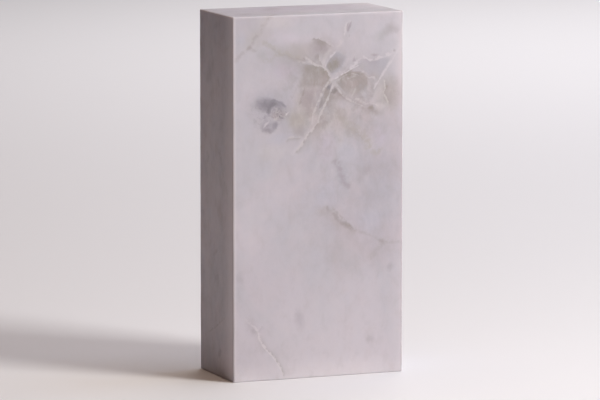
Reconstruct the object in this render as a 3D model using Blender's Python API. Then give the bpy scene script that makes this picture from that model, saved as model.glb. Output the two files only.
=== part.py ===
# Stone brick: one sawn and honed block of pale marble, standing on its end.
# Metres, +Z up. The origin is the middle of the end face that the brick stands on.

import bpy
import bmesh
from mathutils import Matrix, Vector

# Driving dimensions
BRICK_WIDTH = 0.100     # along X, across the broad face that faces -Y
BRICK_DEPTH = 0.050     # along Y, between the two broad faces
BRICK_HEIGHT = 0.200    # along Z, from one end face to the other
ARRIS_RADIUS = 0.0006   # the sharp saw edges are eased by hand to this radius
ARRIS_STEPS = 3         # flats that make up each eased edge

# Finish of the stone
MARBLE_COLOUR = (0.50, 0.45, 0.47, 1.0)
MARBLE_ROUGHNESS = 0.42


def clear_scene():
    """Removes whatever the startup file holds."""
    for thing in list(bpy.data.objects):
        bpy.data.objects.remove(thing, do_unlink=True)


def marble_material():
    """Honed marble: pale lilac grey with a low sheen."""
    material = bpy.data.materials.new("honed_marble")
    material.use_nodes = True
    shader = material.node_tree.nodes["Principled BSDF"]
    shader.inputs["Base Color"].default_value = MARBLE_COLOUR
    shader.inputs["Roughness"].default_value = MARBLE_ROUGHNESS
    shader.inputs["Metallic"].default_value = 0.0
    return material


def sawn_block(width, depth, height):
    """A block with true faces, its bottom end face centred on the origin."""
    block = bmesh.new()
    to_place = Matrix.Translation(Vector((0.0, 0.0, height / 2)))
    to_size = Matrix.Diagonal(Vector((width, depth, height, 1.0)))
    bmesh.ops.create_cube(block, size=1.0, matrix=to_place @ to_size)
    return block


def ease_arrises(block, radius, steps):
    """Rounds the twelve edges and the eight corners of the block."""
    bmesh.ops.bevel(
        block,
        geom=list(block.edges),
        offset=radius,
        offset_type="OFFSET",
        segments=steps,
        profile=0.5,
        affect="EDGES",
        clamp_overlap=True,
    )


def stone_brick():
    """The whole brick: one natural piece of stone."""
    block = sawn_block(BRICK_WIDTH, BRICK_DEPTH, BRICK_HEIGHT)
    ease_arrises(block, ARRIS_RADIUS, ARRIS_STEPS)
    bmesh.ops.recalc_face_normals(block, faces=list(block.faces))

    mesh = bpy.data.meshes.new("stone_brick")
    block.to_mesh(mesh)
    block.free()
    mesh.materials.append(marble_material())
    mesh.shade_smooth()
    mesh.set_sharp_from_angle(angle=0.7)

    brick = bpy.data.objects.new("stone_brick", mesh)
    bpy.context.scene.collection.objects.link(brick)
    return brick


def main():
    clear_scene()
    stone_brick()


main()
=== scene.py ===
import math

import bpy
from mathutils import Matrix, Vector


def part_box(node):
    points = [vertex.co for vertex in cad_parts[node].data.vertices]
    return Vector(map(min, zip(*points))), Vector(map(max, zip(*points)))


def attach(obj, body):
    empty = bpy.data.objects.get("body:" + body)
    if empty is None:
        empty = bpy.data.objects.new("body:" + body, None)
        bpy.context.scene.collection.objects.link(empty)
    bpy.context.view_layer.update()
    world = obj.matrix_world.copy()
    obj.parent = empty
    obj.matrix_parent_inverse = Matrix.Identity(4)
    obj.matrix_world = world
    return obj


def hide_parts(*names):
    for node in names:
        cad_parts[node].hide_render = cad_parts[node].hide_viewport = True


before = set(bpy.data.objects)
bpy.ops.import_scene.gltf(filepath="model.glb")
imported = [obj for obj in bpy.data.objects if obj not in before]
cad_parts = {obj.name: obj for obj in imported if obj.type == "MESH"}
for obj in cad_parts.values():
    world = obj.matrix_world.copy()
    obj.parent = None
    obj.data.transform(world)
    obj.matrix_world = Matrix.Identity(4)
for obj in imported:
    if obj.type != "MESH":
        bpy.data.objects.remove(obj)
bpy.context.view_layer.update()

brickLow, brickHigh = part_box("stone_brick")
brickSize = brickHigh - brickLow
millimetres = 1000.0            # in a metre
print("frame loaded, brick measures", [round(side, 4) for side in brickSize])


def addObject(name, data):
    thing = bpy.data.objects.new(name, data)
    bpy.context.scene.collection.objects.link(thing)
    return thing


# A direction away from the brick, given in radians right of the broad face's normal and above level
def heading(turn, rise):
    return Vector((math.sin(turn) * math.cos(rise), -math.cos(turn) * math.cos(rise), math.sin(rise)))


# The photograph's camera, worked out from the brick's own edges
view = {
    "azimuth": -22.0,           # degrees right of the broad face's normal
    "elevation": 7.79,          # degrees above level
    "distance": 2.6326,         # metres from the point aimed at
    "aim": (-0.0108, -0.025, 0.0986),
    "lens": 289.8,              # millimetres
    "sensor": 36.0,
}


def makeCamera():
    data = bpy.data.cameras.new("studioCamera")
    data.lens = view["lens"]
    data.sensor_width = view["sensor"]
    camera = addObject("studioCamera", data)
    turn = math.radians(view["azimuth"])
    rise = math.radians(view["elevation"])
    camera.location = Vector(view["aim"]) + heading(turn, rise) * view["distance"]
    camera.rotation_euler = (math.pi / 2 - rise, 0.0, turn)
    bpy.context.scene.camera = camera


makeCamera()
print("camera placed")


# Small helpers for wiring nodes: a value is either another node's socket or a plain number

def feed(tree, socket, value):
    if isinstance(value, bpy.types.NodeSocket):
        tree.links.new(value, socket)
    elif value is not None:
        socket.default_value = value


def feedAll(tree, node, values):
    for name, value in values.items():
        feed(tree, node.inputs[name], value)


def addNode(tree, kind, **settings):
    node = tree.nodes.new(kind)
    for name, value in settings.items():
        setattr(node, name, value)
    return node


def calc(tree, operation, *values):
    node = addNode(tree, "ShaderNodeMath", operation=operation)
    for socket, value in zip(node.inputs, values):
        feed(tree, socket, value)
    return node.outputs[0]


def times(tree, one, other):
    return calc(tree, "MULTIPLY", one, other)


def vectorCalc(tree, operation, *values, scale=None):
    node = addNode(tree, "ShaderNodeVectorMath", operation=operation)
    for socket, value in zip(node.inputs, values):
        feed(tree, socket, value)
    if scale is not None:
        feed(tree, node.inputs["Scale"], scale)
    return node.outputs["Value" if operation in ("DOT_PRODUCT", "LENGTH") else "Vector"]


def fade(tree, value, low, high, toLow=0.0, toHigh=1.0, kind="SMOOTHSTEP"):
    node = addNode(tree, "ShaderNodeMapRange", interpolation_type=kind, clamp=False)
    for socket, number in zip(node.inputs, (value, low, high, toLow, toHigh)):
        feed(tree, socket, number)
    return node.outputs[0]


# Sockets 6 and 7 in and 2 out are the mix node's colours
def tint(tree, amount, below, above):
    node = addNode(tree, "ShaderNodeMix", data_type="RGBA")
    feed(tree, node.inputs[0], amount)
    feed(tree, node.inputs[6], below)
    feed(tree, node.inputs[7], above)
    return node.outputs[2]


def noise(tree, point, size, detail, roughness, seed, twist=0.0):
    node = addNode(tree, "ShaderNodeTexNoise", noise_dimensions="4D")
    feedAll(tree, node, {
        "Vector": point, "W": seed, "Scale": 1.0 / size,
        "Detail": detail, "Roughness": roughness, "Distortion": twist})
    return node


def stoneTone(red, green, blue):
    linear = []
    for level in (red, green, blue):
        share = level / 255.0
        linear.append(share / 12.92 if share <= 0.04045 else ((share + 0.055) / 1.055) ** 2.4)
    return (*linear, 1.0)


def addInputs(tree, kind, *labels):
    for label in labels:
        tree.interface.new_socket(label, in_out="INPUT", socket_type="NodeSocket" + kind)


# A group with one number as its result
def newGroup(name, result, points, numbers):
    group = bpy.data.node_groups.new(name, "ShaderNodeTree")
    addInputs(group, "Vector", *points)
    addInputs(group, "Float", *numbers)
    group.interface.new_socket(result, in_out="OUTPUT", socket_type="NodeSocketFloat")
    return group, addNode(group, "NodeGroupInput").outputs, addNode(group, "NodeGroupOutput").inputs[0]


def useGroup(tree, group, **values):
    node = addNode(tree, "ShaderNodeGroup", node_tree=group)
    feedAll(tree, node, values)
    return node.outputs[0]


# How every vein is drawn, in millimetres but for the levels of the ragged noise, which lie about a half
veinLook = {
    "strays": (0.3, 0.7),       # noise levels from one side of the path to the other
    "swells": (0.62, 0.36),     # and from the thinnest to the widest line
    "thinnest": 0.4,            # as a multiple of the half width, like the next
    "widest": 1.5,
    "breaks": (0.6, 0.42),      # noise levels from broken off to whole
    "jag": 0.4,
    "soft": 0.22,
    "thin": 0.35,               # how much is left of the line where it breaks
    "starts": (0.3, 1.5),       # its start fades in over this share of it or this length, if less
    "ends": (0.4, 2.5),
    "stainEdge": (-0.2, 0.3),   # where a stain begins, measured from the path
    "stainRuns": (0.2, 2.5),
    "leastSwing": 0.001,        # half the range of the path's curve, at least
    "swingRoom": 1.05,          # that range as a multiple of how far the path sways
}


# The streak of white calcite itself: full within its half width, ragged, and running out at both ends
def makeVeinLineGroup():
    group, given, result = newGroup("veinLine", "Line", (), (
        "Distance", "Along", "Ragged", "Half", "Jag", "Soft", "Thin", "Start", "End"))
    ragged = given["Ragged"]
    jag = times(group, fade(group, ragged, *veinLook["strays"], -1.0, 1.0), given["Jag"])
    away = calc(group, "ABSOLUTE", calc(group, "ADD", given["Distance"], jag))
    swell = fade(group, ragged, *veinLook["swells"], veinLook["thinnest"], veinLook["widest"])
    half = times(group, given["Half"], swell)
    edge = calc(group, "ADD", half, given["Soft"])
    inner = calc(group, "SUBTRACT", half, given["Soft"])
    line = fade(group, away, inner, edge, 1.0, 0.0)
    broken = calc(group, "ADD", fade(group, ragged, *veinLook["breaks"]), given["Thin"])
    broken = calc(group, "MINIMUM", broken, 1.0)
    starts = fade(group, given["Along"], 0.0, given["Start"])
    ends = fade(group, given["Along"], given["End"], 1.0, 1.0, 0.0)
    shown = times(group, times(group, starts, ends), broken)
    feed(group, result, times(group, line, shown))
    return group


# Stain that lies against one side of a vein and dies away from it
def makeVeinShadeGroup():
    group, given, result = newGroup("veinShade", "Shade", (), (
        "Distance", "Along", "Reach", "From", "To", "Run"))
    side = fade(group, given["Distance"], *veinLook["stainEdge"])
    depth = calc(group, "DIVIDE", calc(group, "MAXIMUM", given["Distance"], 0.0), given["Reach"])
    dying = calc(group, "EXPONENT", times(group, depth, -1.0))
    starts = fade(group, given["Along"], calc(group, "SUBTRACT", given["From"], given["Run"]), given["From"])
    ends = fade(group, given["Along"], given["To"], calc(group, "ADD", given["To"], given["Run"]), 1.0, 0.0)
    window = times(group, starts, ends)
    feed(group, result, times(group, times(group, side, dying), window))
    return group


# A soft-edged ellipse of colour that runs on through the block: its axes come divided by their spread
def makeCloudGroup():
    group, given, result = newGroup("stoneCloud", "Cloud", ("Point", "Centre", "Wide", "Tall"), ("Core",))
    reach = vectorCalc(group, "SUBTRACT", given["Point"], given["Centre"])
    wide = vectorCalc(group, "DOT_PRODUCT", reach, given["Wide"])
    tall = vectorCalc(group, "DOT_PRODUCT", reach, given["Tall"])
    square = calc(group, "ADD", times(group, wide, wide), times(group, tall, tall))
    feed(group, result, fade(group, calc(group, "SQRT", square), given["Core"], 1.0, 1.0, 0.0))
    return group


veinLineGroup = makeVeinLineGroup()
veinShadeGroup = makeVeinShadeGroup()
cloudGroup = makeCloudGroup()

# Tones of the stone, and one pale tone of painted light, as levels from 0 to 255
levels = {
    "lilac": (191, 181, 188),
    "mist": (184, 177, 184),
    "blush": (201, 191, 197),
    # a pale tone that paints light, not a tone of the stone itself
    "glow": (217, 207, 211),
    "chalk": (190, 181, 183),
    "dusk": (158, 146, 149),
    "olive": (142, 133, 127),
    "pale": (200, 191, 196),
    "milk": (209, 200, 203),
    "cream": (201, 192, 192),
    "beige": (172, 162, 161),
    "tan": (168, 158, 153),
    "umber": (151, 141, 139),
    "rust": (161, 146, 144),
    "slate": (164, 158, 167),
    "plum": (158, 146, 154),
    "soot": (125, 118, 126),
    "crack": (133, 122, 121),
    "rose": (190, 172, 175),
    "ice": (176, 174, 187),
    "orchid": (200, 188, 198),
    "violet": (188, 175, 188),
    "moss": (164, 159, 161),
}
tones = {name: stoneTone(*tone) for name, tone in levels.items()}

# All places on the stone are in millimetres: across from the broad face's left edge, and up from the floor.
# The sheets of calcite lean as they go back through the block.
marble = {
    "lean": (-0.40, 0.30),      # how far the pattern slides across and up for each step back
    "wobble": 0.6,              # millimetres that a vein strays from its path
    "drift": 0.16,              # extra straying for each millimetre back from the broad face
    "curl": 2.8,                # how far the edges of clouds curl in and out
    "hazeFrom": 0.38,           # noise levels between the stone's two ground tones
    "hazeTo": 0.62,
    "blotchFrom": 0.47,         # noise levels between bare ground and a full blotch
    "blotchTo": 0.66,
    "evenLevel": 0.5,           # the noise level where a slow change does nothing
    "mottleStretch": 0.65,      # faint blotches all over are drawn out a little up and down
    "mottleDark": 0.17,
    "mottleLight": 0.13,
    "warmth": 0.14,             # how far the stone turns a little rosy or a little blue
    "busy": ((72, 118), (66, 96), 0, 0.1),  # the half of the stone with more going on in it
    "busyGain": 1.7,
    "busySide": ((-13, 110), (15, 150), 0, 0.6),
    "sideGain": 2.3,
    "fretGain": 1.9,
    "arrisPaintedGlow": 0.8,           # the painted pale bloom where light soaks through the front left arris
    "arrisReach": (2.5, 17.0),  # millimetres across the broad face, and back along the side
    "arrisShade": 0.6,           # how far painted shade darkens the upright arrises, dulling their highlight
    "arrisHighlight": 0.15,          # how far a painted highlight pales the level ones
}

# The noises that bend, break and mottle the pattern, with sizes in millimetres
grains = {
    "wobble": {"size": 7.0, "detail": 4.0, "roughness": 0.62, "seed": 1.0},
    "drift": {"size": 38.0, "detail": 1.0, "roughness": 0.5, "seed": 2.0},
    "ragged": {"size": 2.8, "detail": 3.0, "roughness": 0.6, "seed": 3.0},
    "haze": {"size": 34.0, "detail": 3.0, "roughness": 0.55, "seed": 4.0, "twist": 0.6},
    "curl": {"size": 6.0, "detail": 4.0, "roughness": 0.62, "seed": 5.0},
    "blotch": {"detail": 3.0, "roughness": 0.6, "twist": 0.8},
    "mottle": {"size": 7.0, "detail": 5.0, "roughness": 0.7, "seed": 8.0, "twist": 0.3},
    "warm": {"size": 13.0, "detail": 5.0, "roughness": 0.7, "seed": 9.0, "twist": 0.3},
    "polish": {"size": 14.0, "detail": 3.0, "roughness": 0.6, "seed": 14.0},
    "crystals": {"size": 0.7, "detail": 2.0, "roughness": 0.6, "seed": 15.0},
}

# Broken ground: blotches of one size inside a soft-edged zone, which is centre, spread, turn and core
fields = {
    "fret": {
        "zone": ((60, 154), (44, 34), -12, 0.3), "size": 9.0, "seed": 6.0, "fill": ("umber", 0.55)},
    "smudgeGrain": {
        "zone": ((20, 147), (14, 12), 0, 0.3), "size": 2.8, "seed": 16.0, "fill": ("soot", 0.4)},
    "smudgeSpecks": {
        "zone": ((27.4, 146), (6.4, 4.4), -10, 0.4), "size": 1.7, "seed": 17.0, "fill": ("soot", 0.7)},
    "smudgeFlecks": {
        "zone": ((27.4, 146), (6.4, 4.4), -10, 0.4), "size": 1.9, "seed": 18.0, "fill": ("cream", 0.6)},
}

# Veins: a path, then the line as (tone, strength, width), then stains that lie against one of its sides.
# A stain is (side, tone, strength, reach, from, to), its window measured along the vein from 0 to 1.
veins = {
    "crossUpperLeft": {
        "path": [(58, 164.4), (57.1, 165.7), (55.8, 167.8), (54.3, 169.8), (51.9, 171.2), (49.8, 172),
                 (47.6, 172.9), (46, 174.2), (44.3, 175.7), (41.4, 177.6)],
        "line": ("chalk", 0.75, 1.1),
        "stains": [("left", "olive", 0.65, 1.5, 0.1, 0.6), ("right", "olive", 0.3, 1.0, 0.6, 0.9)]},
    "braid": {
        "path": [(49, 172.2), (46.5, 173.2), (44.5, 173.9), (42.9, 174), (40, 174.4), (37, 175.8)],
        "line": ("chalk", 0.55, 0.8)},
    "crossUpperRight": {
        "path": [(57.6, 163.9), (61, 166), (64, 167.9), (67.5, 169.8), (71, 171.6), (76, 174.2)],
        "line": ("lilac", 0.4, 2.2), "soft": 0.8, "thin": 0.7, "jag": 0.3},
    "wavyCrest": {
        "path": [(68, 168.6), (70, 170.4), (72.4, 172.4), (74.6, 174.8), (77.4, 175.2), (80.6, 173.6),
                 (83.9, 174), (87.4, 175.1), (89.8, 175.5), (92, 176.4), (93.6, 177.6), (94.8, 179.4)],
        "line": ("pale", 0.65, 1.5), "soft": 0.4, "thin": 0.6, "jag": 0.3,
        "stains": [("right", "plum", 0.6, 1.1, 0.2, 0.6), ("left", "plum", 0.5, 0.8, 0.5, 0.66)]},
    "rightDiagonal": {
        "path": [(82.6, 157), (83.9, 159.7), (85.6, 162.4), (88, 165.5), (90.4, 168.9), (92.7, 172),
                 (95.1, 175.4), (96.8, 178.2), (99, 182)],
        "line": ("pale", 0.6, 1.1), "soft": 0.3, "thin": 0.7, "jag": 0.1},
    "slideLeft": {
        "path": [(57.6, 163.9), (56.2, 162.9), (53.8, 160), (51.9, 157.1), (50.7, 153.8), (49.4, 150.8),
                 (48.3, 148.6), (47, 146), (46.6, 142), (46, 139)],
        "line": ("chalk", 0.7, 1.0), "jag": 0.25,
        "stains": [("right", "dusk", 0.4, 2.4, 0.05, 0.6)]},
    "slideRight": {
        "path": [(59.2, 161.4), (58.3, 160), (57.1, 157.1), (55.7, 153.8), (54.4, 151.4), (52.7, 148.2),
                 (50.8, 144.9), (49.3, 140.6), (47, 137.2), (43.6, 134.4), (41.4, 131.2), (39.4, 128.4),
                 (37.8, 126.4), (36.2, 124.9)],
        "line": ("chalk", 0.75, 1.2), "thin": 0.55, "jag": 0.15,
        "stains": [("left", "umber", 0.75, 1.6, 0.56, 0.97), ("left", "umber", 0.35, 3.0, 0.1, 0.6)]},
    "hook": {
        "path": [(31.6, 132), (32.7, 132.8), (35, 133), (37.4, 132.7), (39.6, 132.9), (41.7, 133.6)],
        "line": ("chalk", 0.6, 0.9), "jag": 0.2,
        "stains": [("right", "umber", 0.75, 0.9, 0.05, 0.65)]},
    "fallRight": {
        "path": [(59, 161), (61, 158.6), (63.8, 155.7), (66.7, 152.9), (70.5, 151), (75, 149.3),
                 (78.4, 147.6)],
        "line": ("chalk", 0.65, 0.9), "jag": 0.2,
        "stains": [("right", "crack", 0.6, 0.9, 0.08, 0.5), ("left", "umber", 0.35, 0.8, 0.6, 0.9)]},
    "rightShort": {
        "path": [(88.6, 163), (88.9, 161.3), (89.2, 157.8), (88.9, 154.8), (89.6, 153), (90.4, 151.3),
                 (91.4, 149.2), (93.4, 148.8)],
        "line": ("cream", 0.55, 0.7), "jag": 0.3,
        "stains": [("left", "umber", 0.55, 1.6, 0.1, 0.85)]},
    "rightBraid": {
        "path": [(75.4, 167.8), (78, 165.4), (79.8, 164), (82.2, 163.9), (84.4, 162)],
        "line": ("pale", 0.45, 0.9), "soft": 0.4},
    "spurLeft": {
        "path": [(53.6, 170.7), (52.2, 172.6), (51, 174.6), (50.6, 176.4), (50.2, 178.4)],
        "line": ("chalk", 0.55, 0.8),
        "stains": [("left", "umber", 0.75, 1.3, 0.3, 0.9)]},
    "spurRight": {
        "path": [(53.9, 170.1), (54.2, 172), (55, 174), (56.6, 175.8), (58.2, 177), (59.8, 178.6),
                 (61, 180.2)],
        "line": ("pale", 0.6, 0.9)},
    "topSlit": {
        "path": [(66.4, 189.6), (67.2, 191.4), (68.2, 193.4), (69.2, 195.6)],
        "line": ("plum", 0.6, 1.9), "soft": 0.6, "thin": 0.8, "jag": 0.3,
        "stains": [("left", "milk", 0.5, 0.9, 0.1, 0.9)]},
    "topSlitEdge": {
        "path": [(65.2, 187), (65.6, 189.6), (66.2, 192.4), (67.4, 195.6)],
        "line": ("milk", 0.45, 0.8), "jag": 0.3},
    "upperArc": {
        "path": [(45.4, 186), (46.8, 186.3), (48.6, 186.4), (50.5, 186), (52.2, 185.3), (53.7, 184.7),
                 (55.8, 183.2), (58.4, 181.6)],
        "line": ("umber", 0.65, 0.9), "soft": 0.4, "thin": 0.5, "jag": 0.3,
        "stains": [("right", "umber", 0.7, 2.0, 0.2, 0.65), ("left", "pale", 0.6, 0.9, 0.3, 0.95)]},
    "shardCrack": {
        "path": [(42, 161), (41.4, 158), (40.2, 155), (39.2, 152), (38.2, 149.6)],
        "line": ("umber", 0.6, 0.8), "soft": 0.4},
    "redCrest": {
        "path": [(60.5, 162.2), (62.4, 163.6), (64.2, 165.2), (66.6, 166.2), (69, 166.6), (71.6, 166.2),
                 (73.4, 165.8), (75.4, 166.9), (77.6, 166.6), (79.6, 164.6), (80.2, 161.4)],
        "line": ("chalk", 0.45, 0.8), "jag": 0.3,
        "stains": [("right", "umber", 0.6, 1.0, 0.55, 0.8)]},
    "redStreak": {
        "path": [(66.2, 163.6), (68.4, 164.2), (70.4, 164.8), (72.9, 165.3)],
        "line": ("chalk", 0.5, 0.8), "soft": 0.35},
    "redFork": {
        "path": [(72.4, 159.6), (71, 157), (70, 154.6), (69.6, 152.6)],
        "line": ("chalk", 0.4, 0.8), "soft": 0.35},
    "hillDark": {
        "path": [(0.5, 174.6), (3.7, 178), (6.9, 180.6), (9.4, 182.8), (11.9, 185.6), (12.9, 188),
                 (16, 190.4), (18, 195), (21, 198.4), (26, 203)],
        "line": ("dusk", 0.36, 1.7), "soft": 1.0, "thin": 0.4,
        "stains": [("left", "tan", 0.25, 3.0, 0.3, 0.9)]},
    "oliveThread": {
        "path": [(16.5, 186), (18, 185.2), (20.8, 183.8), (23.8, 182.4), (26, 180.4), (28, 179.2),
                 (32.5, 178.2), (35, 176.8), (38, 176.4), (41.4, 175.4)],
        "line": ("tan", 0.5, 2.0), "soft": 1.1, "thin": 0.4,
        "stains": [("right", "olive", 0.35, 1.6, 0.3, 0.98), ("left", "tan", 0.3, 2.5, 0.4, 0.95)]},
    "oliveThreadLow": {
        "path": [(17, 175), (19.6, 175.2), (22, 176), (25, 178), (28, 178.8), (31, 178.6)],
        "line": ("tan", 0.45, 1.8), "soft": 1.0, "thin": 0.4},
    "driftDown": {
        "path": [(60, 146), (64, 141.6), (68, 137.4), (72, 135), (75.4, 132), (78, 129), (79.6, 125.6),
                 (83, 123.4), (88, 122.2)],
        "line": ("tan", 0.55, 3.8), "soft": 2.2, "thin": 0.25, "jag": 0.7,
        "stains": [("left", "beige", 0.4, 4.0, 0.1, 0.75), ("right", "umber", 0.3, 1.6, 0.25, 0.6)]},
    "greyDrift": {
        "path": [(59.4, 120.6), (60.6, 117.6), (62.2, 114.6), (63.4, 111), (65, 107.6), (66.8, 105),
                 (68, 102)],
        "line": ("plum", 0.65, 2.8), "soft": 2.0, "thin": 0.8, "jag": 0.5},
    "brownSeam": {
        "path": [(54, 94.4), (56.8, 92.3), (59.4, 89.8), (61.4, 87), (63.6, 85), (65.9, 83.4), (68.6, 81.8),
                 (71.4, 80.4), (74, 79.4)],
        "line": ("umber", 0.5, 1.9), "soft": 1.0, "thin": 0.3, "jag": 0.2,
        "stains": [("right", "rust", 0.4, 3.5, 0.02, 0.9), ("left", "umber", 0.35, 1.4, 0.04, 0.6)]},
    "brownStrand": {
        "path": [(58, 93.4), (61, 90.6), (63.6, 88), (66, 85.6), (69, 83), (72.4, 80.6)],
        "line": ("umber", 0.42, 1.0), "soft": 0.6, "thin": 0.2, "jag": 0.2},
    "brownFork": {
        "path": [(88.6, 73.4), (86.4, 70.6), (84, 68), (81.6, 65.8), (79.6, 62.6)],
        "line": ("umber", 0.3, 2.4), "soft": 2.0, "thin": 0.6},
    "footVein": {
        "path": [(-1, 36.6), (2.6, 35.6), (5.4, 34.8), (7.9, 33.8), (10.5, 31.4), (12.6, 29.4), (14.2, 27.4),
                 (14.9, 24), (16.3, 21.3), (18.4, 18.2), (21, 15.5), (23.2, 12.9), (25.8, 9.2), (27.9, 6),
                 (29, 3.4), (31, -2)],
        "line": ("milk", 0.7, 1.1), "thin": 0.5, "jag": 0.25, "starts": 0.5,
        "stains": [("left", "dusk", 0.6, 1.1, 0.42, 0.6), ("left", "umber", 0.7, 1.2, 0.64, 0.9),
                   ("right", "dusk", 0.25, 3.0, 0.3, 0.55)]},
    "footFork": {
        "path": [(14.3, 27.3), (15.4, 28.8), (16.8, 30.6)],
        "line": ("milk", 0.4, 0.8),
        "stains": [("right", "plum", 0.4, 1.4, 0.2, 0.9)]},
    "smudgeArc": {
        "path": [(21, 153.8), (24, 153.8), (27, 152.8), (29.4, 151.2), (31, 149.2), (31.6, 147.4)],
        "line": ("soot", 0.6, 1.0), "soft": 0.6, "thin": 0.7, "jag": 0.2},
    "smudgeRing": {
        "path": [(26.4, 145.8), (27.6, 144.6), (29, 144), (30.8, 144.6)],
        "line": ("soot", 0.7, 0.9), "soft": 0.4, "thin": 0.7, "jag": 0.2},
    "smudgeFlash": {
        "path": [(30.2, 144.8), (31.2, 145.8), (32.2, 146.7), (33.4, 147.4)],
        "line": ("pale", 0.7, 0.9), "thin": 0.7, "jag": 0.1},
    "blotFlash": {
        "path": [(17.2, 138.8), (18.6, 140.2), (20.2, 141.6), (22, 143)],
        "line": ("pale", 0.6, 0.9), "thin": 0.5, "jag": 0.4},
    "bandEdge": {
        "path": [(58.8, 163.6), (62.4, 165.6), (65, 167), (68.1, 168.5), (71.5, 170), (75, 171.6)],
        "line": ("pale", 0.7, 0.7), "thin": 0.6, "jag": 0.15,
        "stains": [("right", "olive", 0.75, 0.8, 0.08, 0.62)]},
    "webLow": {
        "path": [(70, 151.4), (73, 152.4), (75.6, 150.6), (78, 149.8), (80.6, 150.2), (83.6, 149),
                 (86.4, 146.8)],
        "line": ("cream", 0.4, 0.8), "soft": 0.4},
    "sideLine": {
        "path": [(-16, 35.2), (-14.4, 35.4), (-12.6, 35.5), (-11, 35.8), (-8, 36.6), (-6, 37.4), (-4, 38.4)],
        "line": ("umber", 0.45, 1.0), "soft": 0.5, "thin": 0.3, "jag": 0.4, "starts": 0.4,
        "stains": [("right", "pale", 0.5, 1.2, 0.2, 0.9)]},
    "sideThread": {
        "path": [(-10, 131), (-8, 126), (-6, 117), (-4, 108), (-2, 104)],
        "line": ("umber", 0.3, 1.0), "soft": 0.7, "thin": 0.3, "jag": 0.5},
    "spurFar": {
        "path": [(60, 180), (62, 182), (63.6, 184), (65, 187)],
        "line": ("cream", 0.3, 1.6), "soft": 0.9, "thin": 0.6},
    "arcDrop": {
        "path": [(51.2, 184), (51.4, 181.6), (51.6, 179), (51.4, 177)],
        "line": ("umber", 0.4, 0.8), "soft": 0.5},
    "hillFork": {
        "path": [(9.4, 182.8), (11.4, 181.6), (13.4, 181.2), (15.4, 181.8)],
        "line": ("dusk", 0.4, 1.4), "soft": 0.8, "thin": 0.4},
    "seamFar": {
        "path": [(73, 79.8), (78, 78), (81.4, 76.8), (84.6, 75), (87.6, 73.4), (91, 72.6), (99, 72.2),
                 (108, 69), (120, 70)],
        "line": ("umber", 0.28, 1.2), "soft": 1.0, "thin": 0.6, "jag": 0.3},
    "legFoot": {
        "path": [(46.2, 138), (43.8, 135.4), (41.4, 132), (39, 128.8), (37, 126.2), (34.6, 124.6),
                 (32, 123.6)],
        "line": ("pale", 0.26, 2.4), "soft": 1.0, "thin": 0.8, "jag": 0.2},
}

# Shards of darker stone between the veins: corners counter-clockwise, how soft each edge is, the tone and
# strength of the fill, and darker hearts. A heart is a small cloud that stays inside the shard.
shards = {
    "leftShard": {
        "corners": [(37, 159.5), (51.8, 159.8), (57.4, 164.4), (54.2, 169.6), (49.5, 171.8), (41, 173.4)],
        "edges": [3.0, 1.2, 0.6, 0.6, 0.8, 5.0], "fill": ("olive", 0.6),
        "hearts": [("olive", 0.45, (48, 169.4), (9, 4.5), -18), ("umber", 0.8, (54.6, 165.6), (4.5, 5)),
                   ("olive", 0.5, (53, 168.4), (3.4, 2.4), -40)]},
    "leftLower": {
        "corners": [(38.4, 150), (44, 145.6), (50, 147.2), (53.2, 159.8), (41.6, 161)],
        "edges": [4.0, 3.0, 0.8, 3.0, 1.0], "fill": ("dusk", 0.6),
        "hearts": [("dusk", 0.5, (45, 154), (5, 6), 10)]},
    "upperShard": {
        "corners": [(54.5, 171.2), (57.6, 167.2), (61.6, 167.8), (66.2, 172), (67.3, 175.5), (64, 178.4),
                    (60.6, 179.4), (56.8, 175.8)],
        "edges": [0.5, 0.8, 2.0, 3.6, 3.0, 1.5, 0.7, 0.5], "fill": ("slate", 0.8),
        "hearts": [("umber", 1.0, (58.8, 172.4), (8, 5.4), 50),
                   ("olive", 0.95, (58.2, 171.4), (5.8, 4), 50)]},
    "redShard": {
        "corners": [(60, 162.2), (66, 156), (73, 153.6), (79.6, 158), (79.6, 164.8), (75, 167.8), (66, 168)],
        "edges": [1.0, 4.5, 4.0, 1.4, 0.8, 0.7, 0.7], "fill": ("umber", 0.85),
        "hearts": [("umber", 0.7, (62.8, 162.4), (4, 3), 20), ("umber", 0.8, (76.2, 163.4), (4, 5)),
                   ("rust", 0.7, (71, 161), (6, 4)), ("olive", 0.7, (67.6, 166.2), (4, 1.6), 5),
                   ("beige", 0.6, (70, 156.4), (8, 3.4), -10)]},
    "blueShard": {
        "corners": [(70, 169.4), (79.6, 165), (84.4, 161), (92.8, 174.4), (80, 178)],
        "edges": [1.4, 1.6, 0.9, 3.0, 3.0], "fill": ("slate", 0.55), "under": "wavyCrest",
        "hearts": [("slate", 0.75, (80, 172), (12, 4), -4), ("moss", 0.5, (75, 170.4), (5, 3)),
                   ("beige", 0.5, (84, 163.6), (5, 4))]},
    "sliver": {
        "corners": [(58.8, 162.6), (55, 160.2), (51.4, 153.6), (49.8, 147.4), (52.6, 149.4), (57.2, 158.6)],
        "edges": [0.5, 0.5, 0.5, 0.6, 0.5, 0.5], "fill": ("umber", 0.85),
        "hearts": [("soot", 0.9, (56.6, 160.2), (3.4, 2.4), 40), ("crack", 0.5, (51.6, 151), (2, 5), -15)]},
}

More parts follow.
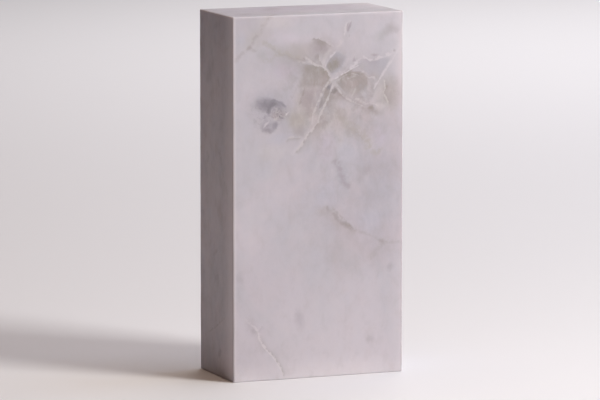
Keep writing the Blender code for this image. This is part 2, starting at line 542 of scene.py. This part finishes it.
# Clouds of colour: tone, strength, centre, spread, turn in degrees, and how much of the spread is full.
# The clouds lie under the shards, and the marks after them over the shards.
clouds = {
    "blueLeft": ("mist", 0.7, (16, 128), (30, 34), 15),
    "blueRight": ("slate", 0.55, (88, 112), (30, 48)),
    "greyUpper": ("plum", 0.22, (64, 130), (52, 80), 0, 0.2),
    "blueMiddle": ("mist", 0.7, (64, 120), (12, 26), 10),
    # painted shade: the top and the top of the broad face darker on the left, away from the light
    "paintedCapShade": ("slate", 0.4, (4, 208), (62, 26), 0, 0.1),
    "greyMiddle": ("plum", 0.25, (78, 82), (40, 26), -15),
    "paleTop": ("orchid", 0.1, (76, 184), (15, 11), 0, 0.2),
    "paleLow": ("blush", 0.75, (54, 8), (82, 56), 0, 0.1),
    # painted light: the foot of the broad face paler where the floor throws light back up
    "paintedFloorBounce": ("glow", 1.0, (60, -6), (80, 22), 0, 0.1),
    "paintedFloorBounceLeft": ("glow", 1.0, (6, -6), (22, 19)),
    # painted light: a glow along the right arris, on the side towards the key light
    "paintedRightEdgeGlow": ("glow", 0.3, (104, 20), (15, 70)),
    "paintedRightEdgeGlowTop": ("glow", 0.5, (102, 182), (12, 40)),
    "beigeField": ("beige", 0.75, (56, 148), (26, 28), -20, 0.1),
    "beigeLeft": ("tan", 0.55, (42, 151), (9, 15), 10, 0.1),
    "beigeRight": ("beige", 0.8, (90, 155), (13, 16), 0, 0.1),
    "beigeUpper": ("beige", 0.6, (40, 178), (18, 11), -15, 0.1),
    "tanCorner": ("tan", 0.35, (14, 188), (14, 9), 35),
    "greyHill": ("slate", 0.3, (30, 172), (22, 12)),
    "duskStreak": ("dusk", 0.4, (53, 143), (6, 9), -35),
    "brownStreak": ("umber", 0.45, (63.4, 144.6), (7, 2.6), -55),
    "brownKnee": ("umber", 0.55, (38.6, 136.4), (7, 5), -20, 0.2),
    "brownUnder": ("umber", 0.5, (56, 149), (3.4, 7), 20),
    "blueIsland": ("mist", 0.9, (65.6, 150.2), (9, 3.8), -12, 0.2),
    "brownRight": ("umber", 0.35, (93, 156), (5.5, 10), 5),
    "spotShade": ("umber", 0.4, (82, 145), (8, 3), -8, 0.1),
    "roseLow": ("rust", 0.3, (53, 91), (7, 5), -20),
    "roseLower": ("rust", 0.22, (64, 66), (16, 18)),
    "seamDark": ("umber", 0.75, (66.6, 83.4), (6, 2), -38, 0.1),
    "seamDarkTwo": ("umber", 0.55, (87.2, 73.6), (3.6, 2.2), -30),
    "plumLow": ("plum", 0.42, (38.5, 33), (4, 8), 5),
    "plumSpot": ("plum", 0.45, (92, 59), (3, 3.4), -40),
    "plumSpotTwo": ("dusk", 0.4, (79.4, 113), (5, 5)),
    "plumSpotThree": ("dusk", 0.3, (74, 109), (5, 4.6)),
    "plumCorner": ("plum", 0.35, (81, 19.5), (4, 3)),
    "plumEdge": ("plum", 0.3, (4, 57), (4, 5)),
    "plumFoot": ("plum", 0.25, (11, 30), (5, 8), 30),
    "greyTop": ("dusk", 0.55, (92.6, 190.4), (7, 4), 10, 0.1),
    "arcShade": ("dusk", 0.9, (52, 181.6), (11.5, 9)),
    "smudgeRight": ("slate", 0.45, (33, 141), (15, 14)),
    "smudgeHalo": ("slate", 0.7, (22, 150), (19, 17), 0, 0.1),
    "smudgeGrey": ("dusk", 0.8, (27.6, 146), (6.4, 4.4), -15, 0.3),
    "smudgeBand": ("soot", 0.8, (19.0, 151.6), (9.8, 4.8), -3, 0.1),
    "smudgeHeart": ("soot", 1.0, (23.2, 151.2), (4, 2.6), -10, 0.3),
    "smudgeSpike": ("soot", 0.9, (21.2, 148.8), (1.8, 3.6), 0, 0.2),
    "blot": ("slate", 1.0, (21, 140), (6.5, 5.2), 0, 0.4),
    "blotDark": ("soot", 0.5, (24.4, 139.8), (2.4, 4.6), -10, 0.2),
    "greyTopTail": ("moss", 0.4, (86, 187), (8, 4), 25),
    "smudgeArm": ("soot", 0.55, (26.6, 151.2), (6, 3), -25, 0.1),
    "blotFoot": ("soot", 0.6, (20.4, 137), (5, 1.9), -10, 0.1),
    "blueUnder": ("ice", 0.35, (26, 133), (9, 4.5), 0, 0.1),
    "creamUnder": ("cream", 0.22, (22, 125.5), (13, 6), 0, 0.2),
    "violetPatch": ("violet", 0.5, (55, 128), (8, 13), 0, 0.1),
    "violetPatchTwo": ("violet", 0.45, (86.6, 131), (5, 8), 0, 0.1),
    "icePatch": ("ice", 0.35, (55, 102), (9, 12), 0, 0.1),
    "icePatchTwo": ("ice", 0.45, (80, 85), (13, 9), -10, 0.1),
    "icePatchThree": ("ice", 0.3, (66, 123), (8, 7), 0, 0.1),
    "greyDriftHeart": ("dusk", 0.75, (64.8, 107), (2.2, 3.6), 20),
    "sidePale": ("pale", 0.6, (-11, 140), (11, 76), 0, 0.4),
    "sideShade": ("dusk", 0.45, (-12.5, 179), (4, 9)),
    "sideShadeTop": ("dusk", 0.5, (-10, 202), (3, 3.5), 0, 0.1),
    "sideShadeEdge": ("dusk", 0.55, (-3.4, 185), (2.4, 2.6), 0, 0.1),
    "sideSpot": ("plum", 0.75, (-7.2, 20.4), (1.7, 3.4), 0, 0.1),
    "sideFleck": ("dusk", 0.6, (-11.8, 76.3), (1.4, 2.4)),
    "sideFleckTwo": ("dusk", 0.5, (-10.8, 62), (1.2, 3)),
    "capViolet": ("violet", 0.65, (50, 212), (80, 11), 0, 0.3),
    # painted light: the right of the top paler, towards the light
    "paintedCapLight": ("glow", 0.7, (94, 213), (44, 13), 0, 0.1),
    "capGrey": ("dusk", 0.4, (21, 211.5), (7, 3.4), 0, 0.1),
    "capPlum": ("plum", 0.35, (8, 204), (6, 3.5)),
    "capWarm": ("beige", 0.35, (37, 203.6), (12, 3.5)),
    "iceStreak": ("moss", 0.55, (43.4, 142), (2.2, 5.4), 5, 0.1),
    "kneeShade": ("tan", 0.8, (37, 142.6), (8.5, 8.5), 0, 0.2),
    "mossPatch": ("moss", 0.4, (17, 178.6), (5, 5)),
    "creamTop": ("cream", 0.4, (24, 196), (15, 5.4), 0, 0.2),
    "iceCorner": ("ice", 0.4, (5, 188), (4.4, 6), 0, 0.1),
    "violetTop": ("violet", 0.5, (30, 170), (11, 6), 0, 0.1),
    "orchidTop": ("orchid", 0.55, (34, 187), (12, 5), 0, 0.1),
    "blotRose": ("plum", 0.4, (19, 139.6), (3.4, 3), 0, 0.1),
    "shatterShade": ("dusk", 0.34, (66, 158), (40, 30), 0, 0.1),
    "driftShade": ("slate", 0.6, (64, 111), (6, 12), 10, 0.1),
    "lowShade": ("dusk", 0.3, (84, 68), (14, 16), 0, 0.1),
    "paleLeft": ("blush", 0.35, (6, 84), (20, 34), 0, 0.1),
    "upperGrey": ("dusk", 0.2, (38, 176), (26, 13), -10, 0.1),
}

# Small marks, in the same form as the clouds
marks = {
    "crossHeart": ("chalk", 0.8, (58, 164.2), (2.2, 1.8), 30, 0.2),
    "paleFlame": ("chalk", 0.6, (53.6, 174.4), (1.8, 4.4), -8),
    "paleFlameTwo": ("chalk", 0.5, (55.8, 178.6), (2.2, 4.4), -35),
    "paleWing": ("lilac", 0.6, (67, 173.4), (3.4, 5), -20),
    "wedge": ("crack", 1.0, (59.1, 157.8), (2.5, 3.2), -45, 0.3),
    "wedgeTrail": ("umber", 0.7, (62, 155.6), (3.8, 1.8), -45, 0.1),
    "brownSpot": ("olive", 0.9, (80.6, 147.4), (2.4, 2.2), 0, 0.3),
    "spotRim": ("umber", 0.6, (76.9, 147.2), (1.8, 1.2), 10, 0.1),
    "paleBlotch": ("chalk", 0.7, (87, 148), (4.4, 3), 0, 0.2),
    "brownNick": ("olive", 0.65, (90.2, 152.2), (1.4, 1.4), 0, 0.1),
    "hillDarkSpot": ("dusk", 0.7, (9.4, 182.8), (2, 1.5), 35, 0.1),
    "arcDark": ("umber", 0.8, (51.2, 184.2), (4.6, 2.4), -15, 0.2),
    "oliveDark": ("umber", 0.8, (41.2, 175.6), (2.2, 0.9), -30, 0.1),
    "spurDark": ("umber", 0.6, (49, 176), (1.4, 3), 0, 0.1),
    "crestDark": ("plum", 0.7, (83, 176.6), (3, 1.3), 0, 0.2),
    "crestDarkTwo": ("plum", 0.75, (71.2, 174.6), (1.6, 1.9), 20, 0.2),
    "crestNick": ("crack", 0.8, (73.2, 165.8), (1.4, 1.1), 30, 0.2),
    "crestEnd": ("dusk", 0.6, (95, 178.8), (0.9, 1.6), -10, 0.2),
    "spotFoot": ("umber", 0.45, (82.4, 145.4), (5, 1.8), -8, 0.1),
    "redBlot": ("umber", 0.55, (75, 153.6), (2.4, 1.8), 0, 0.1),
    "shortDots": ("olive", 0.55, (90.2, 158.4), (1.2, 1.6), 0, 0.1),
    "slitDark": ("plum", 0.7, (67.8, 192.4), (1.4, 3.4), -20, 0.3),
    "slitFoot": ("dusk", 0.4, (68, 188), (1, 1.2), 0, 0.1),
    "footPlum": ("plum", 0.4, (11.2, 28.2), (2, 3), 40),
}

# Which way each slow change turns the stone: the noise level where it is full, how strongly, and to what tone
slowTurns = {
    "mottle": ((0.3, "mottleDark", "umber"), (0.7, "mottleLight", "milk")),
    "warm": ((0.7, "warmth", "rose"), (0.3, "warmth", "ice")),
}

# How a shard's sides fade: shares of an edge's softness outside and inside it, and millimetres under a vein
shardLook = {"outside": 0.3, "inside": 0.7, "roof": (-0.3, 0.5)}


def stain(tree, colour, mask, strength, tone):
    return tint(tree, times(tree, mask, strength), colour, tones[tone])


def layCloud(tree, point, centre, spread, turn=0.0, core=0.0):
    ahead = Vector((math.cos(math.radians(turn)), 0.0, math.sin(math.radians(turn))))
    upward = Vector((-ahead.z, 0.0, ahead.x))
    return useGroup(tree, cloudGroup, Point=point, Centre=(centre[0], 0.0, centre[1]),
                    Wide=tuple(ahead / spread[0]), Tall=tuple(upward / spread[1]), Core=core)


def layClouds(tree, colour, wisps, layer):
    for tone, strength, *zone in layer.values():
        colour = stain(tree, colour, layCloud(tree, wisps, *zone), strength, tone)
    return colour


def layVein(tree, point, name, about):
    path = [Vector((across, 0.0, up)) for across, up in about["path"]]
    chord = path[-1] - path[0]
    length = chord.length
    ahead = chord / length
    leftward = Vector((-ahead.z, 0.0, ahead.x))
    alongs = [(spot - path[0]).dot(ahead) / length for spot in path]
    sways = [(spot - path[0]).dot(leftward) for spot in path]
    swing = max(veinLook["leastSwing"], veinLook["swingRoom"] * max(abs(sway) for sway in sways))
    reach = vectorCalc(tree, "SUBTRACT", point, tuple(path[0]))
    along = vectorCalc(tree, "DOT_PRODUCT", reach, tuple(ahead / length))
    across = vectorCalc(tree, "DOT_PRODUCT", reach, tuple(leftward))
    curve = addNode(tree, "ShaderNodeFloatCurve", label=name)
    knots = curve.mapping.curves[0].points
    while len(knots) < len(path):
        knots.new(0.5, 0.5)
    for knot, at, sway in zip(knots, alongs, sways):
        knot.location = (at, 0.5 + 0.5 * sway / swing)
        knot.handle_type = "AUTO_CLAMPED"
    curve.mapping.update()
    feed(tree, curve.inputs["Value"], along)
    sway = fade(tree, curve.outputs[0], 0.0, 1.0, -swing, swing, "LINEAR")
    return along, calc(tree, "SUBTRACT", across, sway), length


def layShard(tree, point, about):
    corners = [Vector((across, 0.0, up)) for across, up in about["corners"]]
    mask = None
    if "under" in about:
        distance = layVein(tree, point, "roof", veins[about["under"]])[1]
        mask = fade(tree, distance, *shardLook["roof"], 1.0, 0.0)
    for corner, following, soft in zip(corners, corners[1:] + corners[:1], about["edges"]):
        run = (following - corner).normalized()
        inward = Vector((-run.z, 0.0, run.x))
        level = corner.dot(inward)
        side = fade(tree, vectorCalc(tree, "DOT_PRODUCT", point, tuple(inward)),
                    level - shardLook["outside"] * soft, level + shardLook["inside"] * soft)
        mask = side if mask is None else times(tree, mask, side)
    return mask


# A length in millimetres as a share of a vein, up to the most that it may take
def shareOf(name, length):
    most, wanted = veinLook[name]
    return min(most, wanted / length)


def layPattern(tree, colour, stone, point, wisps, ragged):
    colour = layClouds(tree, colour, wisps, clouds)
    for field in fields.values():
        zone = layCloud(tree, wisps, *field["zone"])
        blotch = noise(tree, stone, size=field["size"], seed=field["seed"], **grains["blotch"]).outputs[0]
        blotch = fade(tree, blotch, marble["blotchFrom"], marble["blotchTo"])
        tone, strength = field["fill"]
        colour = stain(tree, colour, times(tree, blotch, zone), strength, tone)
    for about in shards.values():
        mask = layShard(tree, point, about)
        tone, strength = about["fill"]
        colour = stain(tree, colour, mask, strength, tone)
        for tone, strength, *zone in about["hearts"]:
            colour = stain(tree, colour, times(tree, layCloud(tree, wisps, *zone), mask), strength, tone)
    colour = layClouds(tree, colour, wisps, marks)
    drawn = vectorCalc(tree, "MULTIPLY", stone, (1.0, 1.0, marble["mottleStretch"]))
    busy = layCloud(tree, wisps, *marble["busy"])
    fret = layCloud(tree, wisps, *fields["fret"]["zone"])
    gain = times(tree, fade(tree, fret, 0.0, 1.0, 1.0, marble["fretGain"]),
                fade(tree, busy, 0.0, 1.0, 1.0, marble["busyGain"]))
    side = layCloud(tree, wisps, *marble["busySide"])
    gain = times(tree, gain, fade(tree, side, 0.0, 1.0, 1.0, marble["sideGain"]))
    for grain, turns in slowTurns.items():
        level = noise(tree, drawn, **grains[grain]).outputs[0]
        for end, most, tone in turns:
            amount = fade(tree, level, marble["evenLevel"], end, 0.0, marble[most], "LINEAR")
            colour = stain(tree, colour, amount, gain, tone)

    # Later stains stay off the white lines that are already down
    free = 1.0
    for name, about in veins.items():
        along, distance, length = layVein(tree, point, name, about)
        for side, tone, strength, reach, begin, end in about.get("stains", []):
            onSide = distance if side == "left" else times(tree, distance, -1.0)
            shade = useGroup(tree, veinShadeGroup, Distance=onSide, Along=along, Reach=reach,
                             From=begin, To=end, Run=shareOf("stainRuns", length))
            colour = stain(tree, colour, times(tree, shade, strength), free, tone)
        tone, strength, width = about["line"]
        look = {**veinLook, **about}
        line = useGroup(tree, veinLineGroup, Distance=distance, Along=along, Ragged=ragged,
                        Half=width / 2, Jag=look["jag"], Soft=look["soft"], Thin=look["thin"],
                        Start=about.get("starts", shareOf("starts", length)),
                        End=1.0 - shareOf("ends", length))
        line = times(tree, line, strength)
        colour = tint(tree, line, colour, tones[tone])
        free = times(tree, free, calc(tree, "SUBTRACT", 1.0, line))
    return colour


# The finish of the stone
honing = {
    "patches": (0.3, 0.7),      # noise levels of the best and the worst polish
    "smoothest": 0.36,
    "dullest": 0.5,
    "arrisWidth": 1.4,          # millimetres from an arris that hands have rubbed duller, and how far its painted shade and highlight reach
    "arrisFull": 0.2,           # the share of that width where the rubbing, the painted shade and the painted highlight are at their full
    "arrisDull": 0.4,
    "toothDepth": 0.00004,      # metres
    "bend": 1.5,                # index of refraction of the polished skin
    "soak": 0.4,                # how much of the light goes into the stone and comes out again
    "soakTint": (1.0, 0.85, 0.8),
    "soakDepth": 0.005,         # metres
}


# A noise's colour as a step to any side, of up to half the reach
def strayBy(tree, grain, reach):
    return vectorCalc(tree, "SCALE", vectorCalc(tree, "SUBTRACT", grain, (0.5, 0.5, 0.5)), scale=reach)


def makeHonedMarble():
    material = bpy.data.materials.new("honedMarble")
    material.use_nodes = True
    tree = material.node_tree
    shader = tree.nodes["Principled BSDF"]

    # Millimetres, with the broad face's lower left corner at zero
    here = addNode(tree, "ShaderNodeTexCoord").outputs["Object"]
    place = addNode(tree, "ShaderNodeMapping", vector_type="POINT")
    feedAll(tree, place, {
        "Vector": here, "Location": tuple(-millimetres * brickLow), "Scale": 3 * (millimetres,)})
    stone = place.outputs[0]
    back = addNode(tree, "ShaderNodeSeparateXYZ")
    feed(tree, back.inputs[0], stone)
    depth = back.outputs["Y"]

    # Where a point of the stone lies in the pattern of the sheets that cut it
    wobble = noise(tree, stone, **grains["wobble"]).outputs["Color"]
    drift = noise(tree, stone, **grains["drift"]).outputs["Color"]
    wobble = strayBy(tree, wobble, 2 * marble["wobble"])
    drift = strayBy(tree, drift, times(tree, depth, 2 * marble["drift"]))
    lean = vectorCalc(tree, "SCALE", (marble["lean"][0], 0.0, marble["lean"][1]), scale=depth)
    strayed = vectorCalc(tree, "ADD", vectorCalc(tree, "ADD", stone, wobble), drift)
    flat = (1.0, 0.0, 1.0)
    sheets = vectorCalc(tree, "MULTIPLY", vectorCalc(tree, "ADD", strayed, lean), flat)
    ragged = noise(tree, stone, **grains["ragged"]).outputs[0]
    curl = noise(tree, stone, **grains["curl"]).outputs["Color"]
    curl = strayBy(tree, curl, 2 * marble["curl"])
    wisps = vectorCalc(tree, "MULTIPLY", vectorCalc(tree, "ADD", sheets, curl), flat)

    haze = noise(tree, stone, **grains["haze"]).outputs[0]
    ground = fade(tree, haze, marble["hazeFrom"], marble["hazeTo"])
    colour = tint(tree, ground, tones["mist"], tones["lilac"])
    colour = layPattern(tree, colour, stone, sheets, wisps, ragged)
    # Painted light: a pale bloom where light soaks through the front left arris
    bloom = (1.0 / marble["arrisReach"][0], 1.0 / marble["arrisReach"][1], 0.0)
    bloom = vectorCalc(tree, "LENGTH", vectorCalc(tree, "MULTIPLY", stone, bloom))
    colour = tint(tree, fade(tree, bloom, 0.0, 1.0, marble["arrisPaintedGlow"], 0.0), colour, tones["glow"])

    # The eased arrises, close to two faces of the block at once: painted shade where upright, a painted
    # highlight where level
    half = tuple(millimetres / 2 * brickSize)
    sides = vectorCalc(tree, "ABSOLUTE", vectorCalc(tree, "SUBTRACT", stone, half))
    sides = vectorCalc(tree, "SUBTRACT", sides, half)
    near = addNode(tree, "ShaderNodeSeparateXYZ")
    feed(tree, near.inputs[0], sides)
    reach = honing["arrisWidth"]
    near = [fade(tree, side, -reach, -honing["arrisFull"] * reach) for side in near.outputs]
    upright = times(tree, near[0], near[1])
    level = times(tree, near[2], calc(tree, "MAXIMUM", near[0], near[1]))
    colour = tint(tree, times(tree, upright, marble["arrisShade"]), colour, tones["dusk"])
    colour = tint(tree, times(tree, level, marble["arrisHighlight"]), colour, tones["glow"])
    feed(tree, shader.inputs["Base Color"], colour)

    # Honed finish: satin, with faint duller patches and the tooth of the crystals
    patches = noise(tree, stone, **grains["polish"]).outputs[0]
    polish = fade(tree, patches, *honing["patches"], honing["smoothest"], honing["dullest"])
    rubbed = times(tree, calc(tree, "MAXIMUM", upright, level), honing["arrisDull"])
    feed(tree, shader.inputs["Roughness"], calc(tree, "ADD", polish, rubbed))
    crystals = noise(tree, stone, **grains["crystals"]).outputs[0]
    bump = addNode(tree, "ShaderNodeBump")
    feedAll(tree, bump, {"Strength": 1.0, "Distance": honing["toothDepth"], "Height": crystals})
    feed(tree, shader.inputs["Normal"], bump.outputs[0])
    feedAll(tree, shader, {
        "IOR": honing["bend"], "Subsurface Weight": honing["soak"],
        "Subsurface Radius": honing["soakTint"], "Subsurface Scale": honing["soakDepth"]})
    return material


honedMarble = makeHonedMarble()
print("marble material made,", len(honedMarble.node_tree.nodes), "nodes")

# The block: true sawn faces, with its edges eased by hand so that their radius wanders a little. Metres.
block = {
    "arris": 0.0006,
    "wear": 0.0002,             # how much the eased radius wanders, either way
    "wearSize": 0.012,
    "wearDetail": 2.0,
    "wearSpread": (0.3, 0.7),   # noise levels of the sharpest and the roundest edge
    "cells": (50, 32, 84),      # rows of faces across, deep and up
    "seed": 11,
}
cellLabels = ("Cells Across", "Cells Deep", "Cells Up")


def addStep(tree, kind, shape, **values):
    node = addNode(tree, kind)
    feedAll(tree, node, {"Geometry": shape, **values})
    return node.outputs[0]


def makeBlockTree():
    tree = bpy.data.node_groups.new("sawnBlock", "GeometryNodeTree")
    addInputs(tree, "Float", "Width", "Depth", "Height", "Arris", "Wear", "Wear Size")
    addInputs(tree, "Int", *cellLabels, "Seed")
    addInputs(tree, "Material", "Stone")
    tree.interface.new_socket("Geometry", in_out="OUTPUT", socket_type="NodeSocketGeometry")
    given = addNode(tree, "NodeGroupInput").outputs

    size = addNode(tree, "ShaderNodeCombineXYZ")
    for socket, label in zip(size.inputs, ("Width", "Depth", "Height")):
        feed(tree, socket, given[label])
    cube = addNode(tree, "GeometryNodeMeshCube")
    feed(tree, cube.inputs["Size"], size.outputs[0])
    for axis, cells in zip("XYZ", cellLabels):
        feed(tree, cube.inputs["Vertices " + axis], calc(tree, "ADD", given[cells], 1.0))

    # Rows crowd towards the edges as the sine of an even spacing
    half = vectorCalc(tree, "SCALE", size.outputs[0], scale=0.5)
    spot = addNode(tree, "GeometryNodeInputPosition").outputs[0]
    even = vectorCalc(tree, "SCALE", vectorCalc(tree, "DIVIDE", spot, half), scale=math.pi / 2)
    crowded = vectorCalc(tree, "MULTIPLY", vectorCalc(tree, "SINE", even), half)

    # Each point is drawn in to a sphere of the eased radius that runs inside the edges
    wander = addNode(tree, "ShaderNodeTexNoise", noise_dimensions="4D")
    feedAll(tree, wander, {
        "Vector": crowded, "W": given["Seed"], "Scale": calc(tree, "DIVIDE", 1.0, given["Wear Size"]),
        "Detail": block["wearDetail"]})
    spread = fade(tree, wander.outputs[0], *block["wearSpread"], -1.0, 1.0, "LINEAR")
    radius = calc(tree, "ADD", given["Arris"], times(tree, spread, given["Wear"]))
    three = addNode(tree, "ShaderNodeCombineXYZ")
    for socket in three.inputs:
        feed(tree, socket, radius)
    core = vectorCalc(tree, "SUBTRACT", half, three.outputs[0])
    inner = vectorCalc(tree, "MINIMUM", crowded, core)
    inner = vectorCalc(tree, "MAXIMUM", inner, vectorCalc(tree, "SCALE", core, scale=-1.0))
    outward = vectorCalc(tree, "NORMALIZE", vectorCalc(tree, "SUBTRACT", crowded, inner))
    eased = vectorCalc(tree, "ADD", inner, vectorCalc(tree, "SCALE", outward, scale=radius))
    lift = addNode(tree, "ShaderNodeCombineXYZ")
    feed(tree, lift.inputs[2], times(tree, given["Height"], 0.5))
    stood = vectorCalc(tree, "ADD", eased, lift.outputs[0])

    shape = addStep(tree, "GeometryNodeSetPosition", cube.outputs["Mesh"], Position=stood)
    shape = addStep(tree, "GeometryNodeSetShadeSmooth", shape)
    shape = addStep(tree, "GeometryNodeRealizeInstances", shape)
    shape = addStep(tree, "GeometryNodeSetMaterial", shape, Material=given["Stone"])
    feed(tree, addNode(tree, "NodeGroupOutput").inputs[0], shape)
    return tree


def makeBlock():
    tree = makeBlockTree()
    maker = addObject("blockMaker", bpy.data.meshes.new("blockMaker"))
    modifier = maker.modifiers.new("sawnBlock", "NODES")
    modifier.node_group = tree
    values = {
        "Width": brickSize.x, "Depth": brickSize.y, "Height": brickSize.z,
        "Arris": block["arris"], "Wear": block["wear"], "Wear Size": block["wearSize"],
        **dict(zip(cellLabels, block["cells"])), "Seed": block["seed"], "Stone": honedMarble,
    }
    for item in tree.interface.items_tree:
        if item.in_out == "INPUT":
            modifier[item.identifier] = values[item.name]
    evaluated = maker.evaluated_get(bpy.context.evaluated_depsgraph_get())
    mesh = bpy.data.meshes.new_from_object(evaluated)
    bpy.data.objects.remove(maker)
    mesh.name = "marble_brick"
    return addObject("marble_brick", mesh)


marbleBrick = makeBlock()
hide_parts("stone_brick")
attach(marbleBrick, "root")
print("marble brick made,", len(marbleBrick.data.polygons), "faces")

# A plain pale floor and soft studio light
studio = {
    "floorSize": 14.0,
    "floorTone": stoneTone(233, 229, 231),
    "floorRoughness": 0.75,
    "keyTurn": 41.0,            # degrees right of the broad face's normal
    "keyRise": 26.0,
    "keyAway": 1.5,
    "keySize": 0.45,
    "keyWatts": 22.0,
    "keyTone": (0.98, 1.0, 0.98),
    "panels": {                 # place, size, watts and tone, all facing down
        "topPanel": ((0.0, 0.0, 2.6), 2.0, 26.0, (1.0, 0.76, 0.59)),
        "rightPanel": ((1.2, 0.0, 2.0), 1.2, 16.0, (0.56, 0.75, 1.0)),
        "farPanel": ((1.1, 1.6, 1.2), 1.2, 16.2, (0.98, 0.99, 1.0)),
    },
}


def makeFloor():
    half = studio["floorSize"] / 2
    mesh = bpy.data.meshes.new("studioFloor")
    corners = [(-half, -half, 0), (half, -half, 0), (half, half, 0), (-half, half, 0)]
    mesh.from_pydata(corners, [], [(0, 1, 2, 3)])
    paper = bpy.data.materials.new("floorPaper")
    paper.use_nodes = True
    shader = paper.node_tree.nodes["Principled BSDF"]
    shader.inputs["Base Color"].default_value = studio["floorTone"]
    shader.inputs["Roughness"].default_value = studio["floorRoughness"]
    mesh.materials.append(paper)
    floor = addObject("studioFloor", mesh)


def makeAreaLight(name, place, aim, size, watts, tone):
    data = bpy.data.lights.new(name, "AREA")
    data.shape = "SQUARE"
    data.size = size
    data.energy = watts
    data.color = tone
    lamp = addObject(name, data)
    lamp.location = place
    lamp.rotation_euler = (place - aim).to_track_quat("Z", "Y").to_euler()


def makeLights():
    turn = math.radians(studio["keyTurn"])
    rise = math.radians(studio["keyRise"])
    middle = Vector((0, 0, brickSize.z / 2))
    makeAreaLight("keySoftbox", middle + heading(turn, rise) * studio["keyAway"], middle,
                  studio["keySize"], studio["keyWatts"], studio["keyTone"])
    for name, (place, size, watts, tone) in studio["panels"].items():
        place = Vector(place)
        makeAreaLight(name, place, place - Vector((0, 0, 1)), size, watts, tone)
    world = bpy.data.worlds.new("studioWorld")
    world.use_nodes = True
    world.node_tree.nodes["Background"].inputs["Strength"].default_value = 0.0
    bpy.context.scene.world = world


makeFloor()
makeLights()
bpy.context.scene.view_settings.view_transform = "Standard"
print("floor and lights made")
